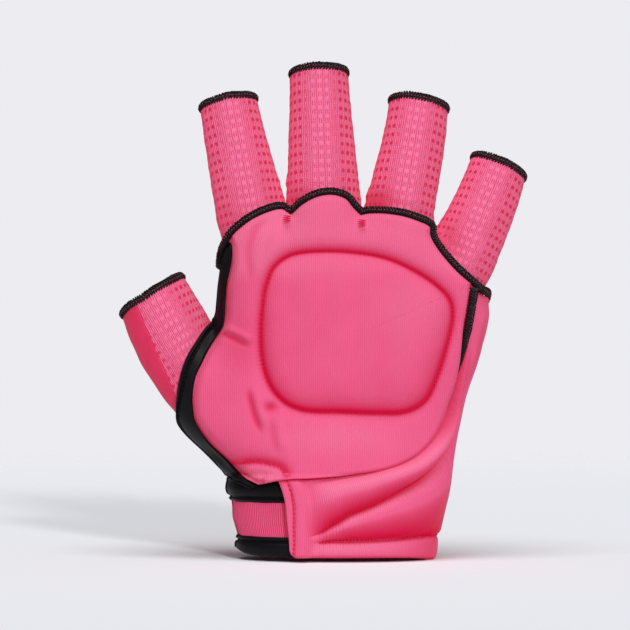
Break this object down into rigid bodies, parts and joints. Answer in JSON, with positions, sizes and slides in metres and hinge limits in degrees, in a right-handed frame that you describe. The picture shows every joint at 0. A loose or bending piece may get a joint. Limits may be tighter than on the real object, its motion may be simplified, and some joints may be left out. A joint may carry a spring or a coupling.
{
  "type": "field hockey glove",
  "caption": "Right-hand field hockey glove: stitched padded back, open knitted finger sleeves, bound thumb edge and a padded wrist strap over ribbed elastic.",
  "frame": {"origin": "centre of the wrist opening, in the plane of the cuff's lower edge", "axes": "+Z towards the fingertips, -Y out of the back of the hand, the thumb on the -X side"},
  "size_m": [0.1569, 0.0558, 0.1897],
  "materials": {
    "knit": "ribbed knit with raised dots",
    "neoprene": "jersey-faced foam, stitched",
    "smooth": "smooth synthetic suede",
    "binding": "folded synthetic leather tape",
    "elastic": "ribbed woven elastic",
    "thread": "overlocked thread"
  },
  "bodies": {
    "root": {"index_sleeve": "knit", "middle_sleeve": "knit", "ring_sleeve": "knit", "little_sleeve": "knit", "thumb_sleeve": "knit", "back_panel": "neoprene", "wrist_strap": "neoprene", "palm_panel": "smooth", "thumb_side_panel": "smooth", "thumb_binding": "binding", "elastic_upper_binding": "binding", "elastic_lower_binding": "binding", "elastic_band": "elastic", "finger_base_seam": "thread", "slit_seam": "thread", "index_tip_hem": "thread", "middle_tip_hem": "thread", "ring_tip_hem": "thread", "little_tip_hem": "thread", "thumb_tip_hem": "thread"}
  },
  "joints": []
}
